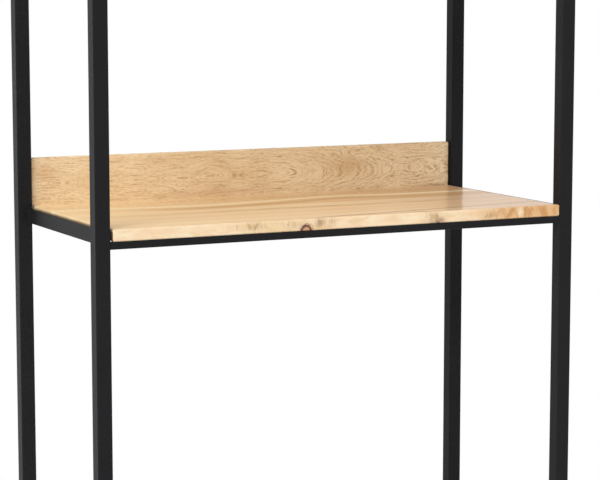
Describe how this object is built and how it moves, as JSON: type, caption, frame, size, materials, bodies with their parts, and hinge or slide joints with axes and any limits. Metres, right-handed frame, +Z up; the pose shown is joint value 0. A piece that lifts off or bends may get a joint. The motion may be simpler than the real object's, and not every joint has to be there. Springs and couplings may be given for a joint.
{
  "type": "desk with shelves",
  "caption": "Free-standing desk with shelves above: square-tube steel posts, welded flat-bar and tube rails, solid wood boards and a low backboard on the desk.",
  "frame": {"origin": "on the floor, midway between the four posts", "axes": "+Z up, +X to the right as seen by the person at the desk, +Y to the back"},
  "size_m": [0.88, 0.4, 1.8],
  "materials": {
    "black_powder_coat": "satin black powder coat on steel",
    "mango_wood": "pale natural hardwood, clear satin lacquer",
    "zinc_screw": "zinc-plated",
    "black_plastic": "moulded black polyethylene"
  },
  "bodies": {
    "root": {"back_left_foot": "black_plastic", "back_left_post": "black_powder_coat", "back_left_post_cap": "black_plastic", "back_right_foot": "black_plastic", "back_right_post": "black_powder_coat", "back_right_post_cap": "black_plastic", "desk_back_rail": "black_powder_coat", "desk_backboard": "mango_wood", "desk_backboard_screws": "zinc_screw", "desk_board": "mango_wood", "desk_board_screws": "zinc_screw", "desk_front_rail": "black_powder_coat", "desk_left_rail": "black_powder_coat", "desk_right_rail": "black_powder_coat", "desk_welds": "black_powder_coat", "foot_back_rail": "black_powder_coat", "foot_left_rail": "black_powder_coat", "foot_right_rail": "black_powder_coat", "foot_welds": "black_powder_coat", "front_left_foot": "black_plastic", "front_left_post": "black_powder_coat", "front_left_post_cap": "black_plastic", "front_right_foot": "black_plastic", "front_right_post": "black_powder_coat", "front_right_post_cap": "black_plastic", "middle_shelf_back_rail": "black_powder_coat", "middle_shelf_board": "mango_wood", "middle_shelf_board_screws": "zinc_screw", "middle_shelf_front_rail": "black_powder_coat", "middle_shelf_left_rail": "black_powder_coat", "middle_shelf_right_rail": "black_powder_coat", "middle_shelf_welds": "black_powder_coat", "top_shelf_back_rail": "black_powder_coat", "top_shelf_board": "mango_wood", "top_shelf_board_screws": "zinc_screw", "top_shelf_front_rail": "black_powder_coat", "top_shelf_left_rail": "black_powder_coat", "top_shelf_right_rail": "black_powder_coat", "top_shelf_welds": "black_powder_coat"}
  },
  "joints": []
}
